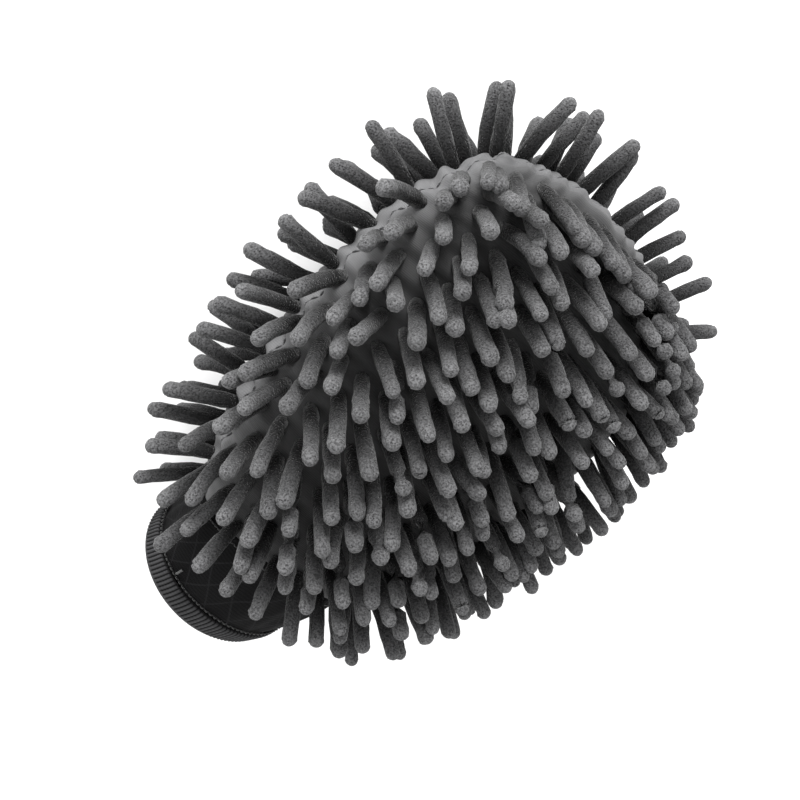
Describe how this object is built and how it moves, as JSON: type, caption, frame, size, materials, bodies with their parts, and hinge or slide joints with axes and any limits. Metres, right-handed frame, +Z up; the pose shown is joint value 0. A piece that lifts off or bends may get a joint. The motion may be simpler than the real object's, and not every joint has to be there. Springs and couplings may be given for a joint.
{
  "type": "wash mitt",
  "caption": "Plump chenille wash mitt with rows of soft fingers on both panels, a lined hand pocket and a ribbed elastic cuff that bends down.",
  "frame": {"origin": "bottom centre of the whole mitt's bounding box, on the plane that the back panel's fingers rest on", "axes": "+X across the mitt, from the near side seam to the far one; +Y from the cuff to the fingertip end; +Z up through the front panel"},
  "size_m": [0.2234, 0.2966, 0.141],
  "materials": {
    "chenille_pile": "soft looped chenille, matt",
    "ground_cloth": "smooth knitted microfibre, slight satin",
    "wadding": "matt fibre wadding",
    "lining": "plain knitted lining, matt",
    "cuff_knit": "fine dark knit, matt",
    "cuff_rib": "ribbed knit, matt",
    "elastic": "woven elastic, matt",
    "thread": "sewing thread",
    "seam_tape": "woven tape, matt"
  },
  "bodies": {
    "root": {"front_ground_cloth": "ground_cloth", "back_ground_cloth": "ground_cloth", "front_wadding": "wadding", "back_wadding": "wadding", "front_lining": "lining", "back_lining": "lining", "seam_stitching": "thread", "wrist_seam_tape": "seam_tape", "wrist_stitching": "thread", "cuff_knit_tube": "cuff_knit", "cuff_rib_band": "cuff_rib", "cuff_elastic": "elastic", "cuff_hem_stitching": "thread", "cuff_bartack": "thread", "front_row_01": "chenille_pile", "front_row_02": "chenille_pile", "front_row_03": "chenille_pile", "front_row_04": "chenille_pile", "front_row_05": "chenille_pile", "front_row_06": "chenille_pile", "front_row_07": "chenille_pile", "front_row_08": "chenille_pile", "front_row_09": "chenille_pile", "front_row_10": "chenille_pile", "front_row_11": "chenille_pile", "front_row_12": "chenille_pile", "front_row_13": "chenille_pile", "front_row_14": "chenille_pile", "front_row_15": "chenille_pile", "front_row_16": "chenille_pile", "front_row_17": "chenille_pile", "front_row_18": "chenille_pile", "back_row_01": "chenille_pile", "back_row_02": "chenille_pile", "back_row_03": "chenille_pile", "back_row_04": "chenille_pile", "back_row_05": "chenille_pile", "back_row_06": "chenille_pile", "back_row_07": "chenille_pile", "back_row_08": "chenille_pile", "back_row_09": "chenille_pile", "back_row_10": "chenille_pile", "back_row_11": "chenille_pile", "back_row_12": "chenille_pile", "back_row_13": "chenille_pile", "back_row_14": "chenille_pile", "back_row_15": "chenille_pile", "back_row_16": "chenille_pile", "back_row_17": "chenille_pile", "back_row_18": "chenille_pile"}
  },
  "joints": []
}
